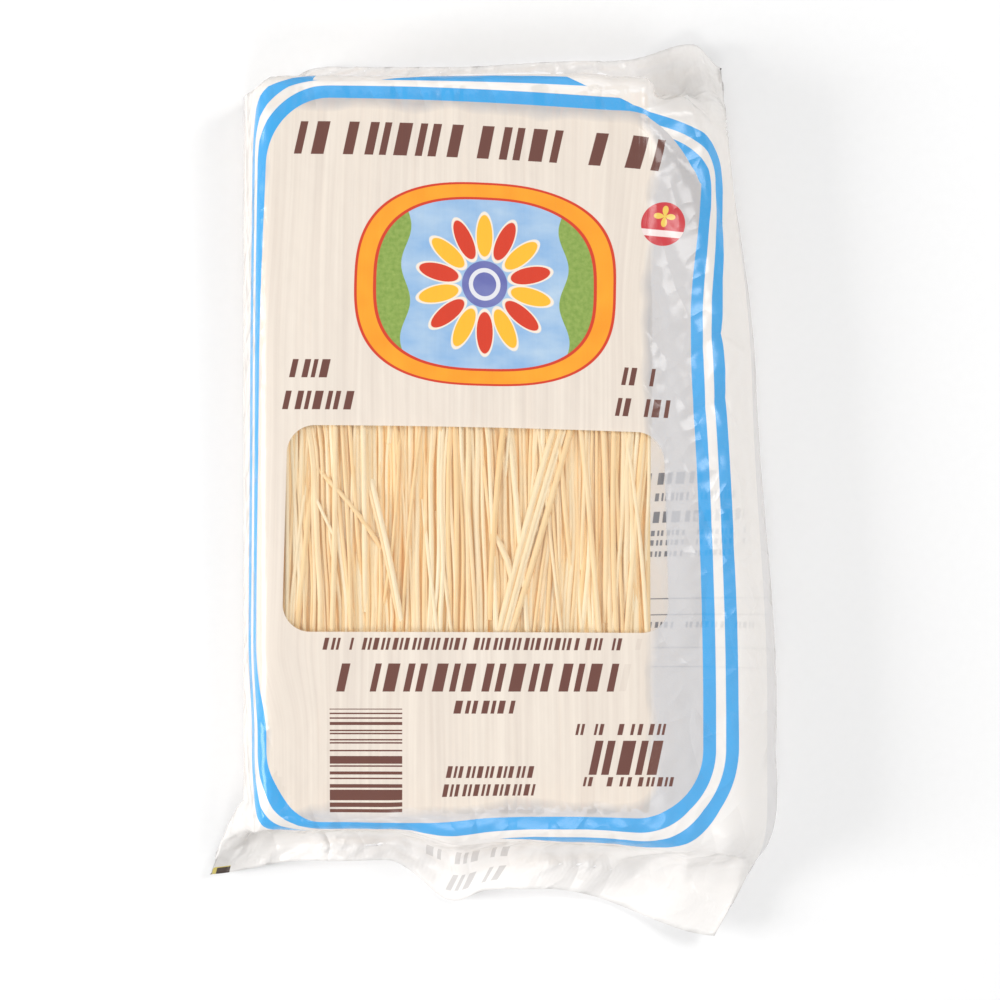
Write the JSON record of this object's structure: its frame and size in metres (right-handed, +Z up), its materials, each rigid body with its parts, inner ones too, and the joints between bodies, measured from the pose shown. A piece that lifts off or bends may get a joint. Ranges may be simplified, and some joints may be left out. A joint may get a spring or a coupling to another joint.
{
  "type": "sealed bag of dried rice vermicelli",
  "caption": "Sealed printed film bag with a clear window, lying flat round a block of straight dried rice noodles.",
  "frame": {"origin": "middle of the bag's extent, on the table it lies on", "axes": "+Y along the bag towards the end with the title, +Z up out of the printed front, +X across to the slack side"},
  "size_m": [0.1874, 0.2962, 0.0366],
  "materials": {
    "printed_film": "thin glossy film, translucent white print with two light blue border stripes and a clear window",
    "rice_noodle": "dry cream rice noodle, satin"
  },
  "bodies": {
    "root": {"bag": "printed_film", "vermicelli_bundle": "rice_noodle"}
  },
  "joints": []
}
